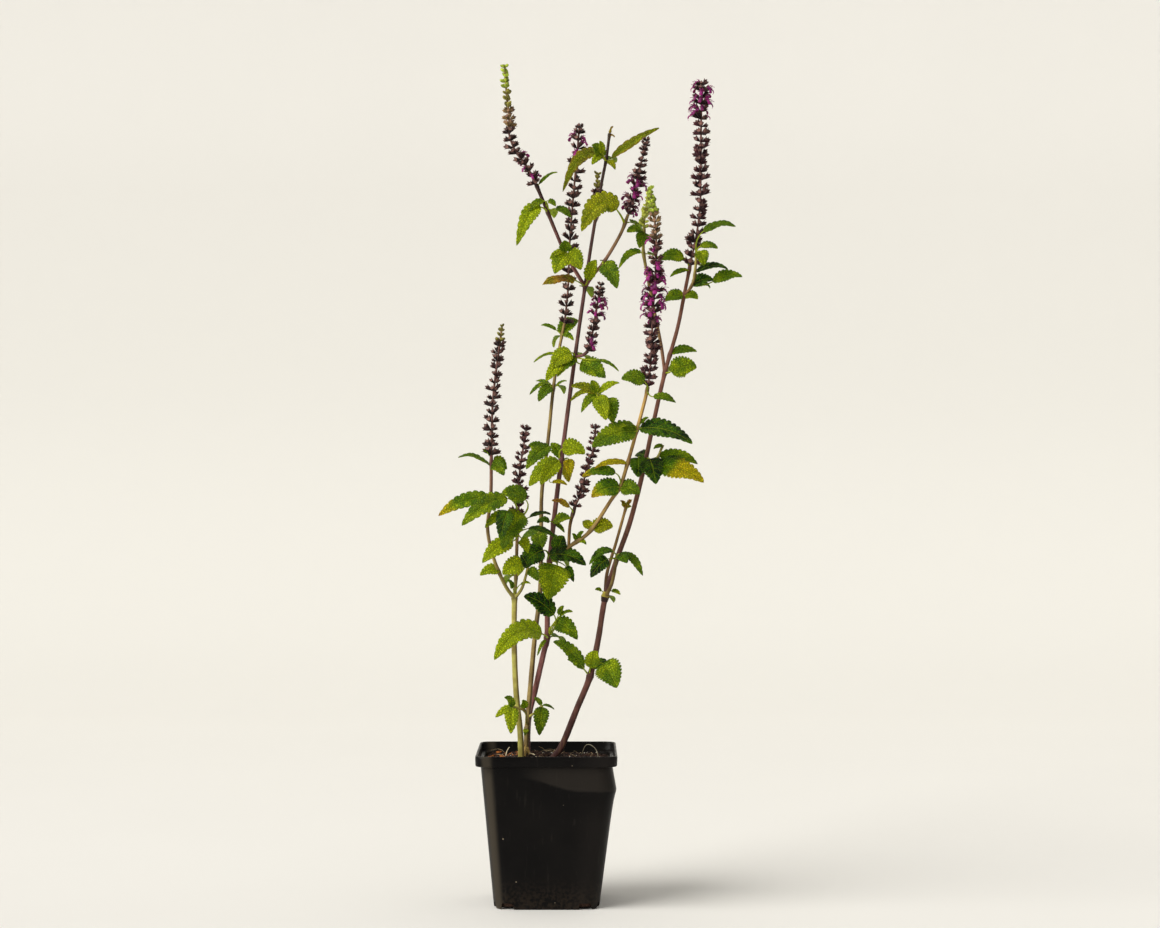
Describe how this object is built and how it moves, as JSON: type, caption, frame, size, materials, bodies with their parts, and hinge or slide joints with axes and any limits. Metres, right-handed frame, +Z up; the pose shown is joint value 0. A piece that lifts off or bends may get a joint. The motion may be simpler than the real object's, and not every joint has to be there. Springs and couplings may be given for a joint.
{
  "type": "potted caucasian germander",
  "caption": "Upright garden perennial in a square black nursery pot, with toothed leaves in pairs and tall flower spikes of brown seed whorls and mauve blooms.",
  "frame": {"origin": "centre of the pot's square base, on the surface it stands on", "axes": "+Z up along the plant's height, +X to the viewer's right along the pot's front side, +Y from the front of the pot to its back"},
  "size_m": [0.2364, 0.1117, 0.6582],
  "materials": {
    "pot": "satin",
    "soil": "matte",
    "foliage": "matte",
    "deep_foliage": "matte",
    "fruit": "matte",
    "bloom": "matte",
    "bud": "matte"
  },
  "bodies": {
    "root": {"nursery_pot": "pot", "potting_soil": "soil", "left_leafy_stem": "foliage", "second_leafy_stem": "deep_foliage", "tall_leafy_stem": "foliage", "right_leafy_stem": "deep_foliage", "left_outer_spike_fruit": "fruit", "left_outer_spike_buds": "bud", "left_inner_spike_fruit": "fruit", "second_spike_fruit": "fruit", "second_spike_blooms": "bloom", "second_spike_buds": "bud", "tall_left_spike_blooms": "bloom", "tall_left_spike_fruit": "fruit", "tall_left_spike_buds": "bud", "tall_right_spike_blooms": "bloom", "tall_right_spike_buds": "bud", "low_spike_blooms": "bloom", "low_spike_buds": "bud", "small_spike_buds": "bud", "bloom_spike_fruit": "fruit", "bloom_spike_blooms": "bloom", "bloom_spike_upper": "fruit", "bloom_spike_buds": "bud", "short_spike_fruit": "fruit", "right_spike_fruit": "fruit", "right_spike_blooms": "bloom", "young_spike_buds": "bud"}
  },
  "joints": []
}
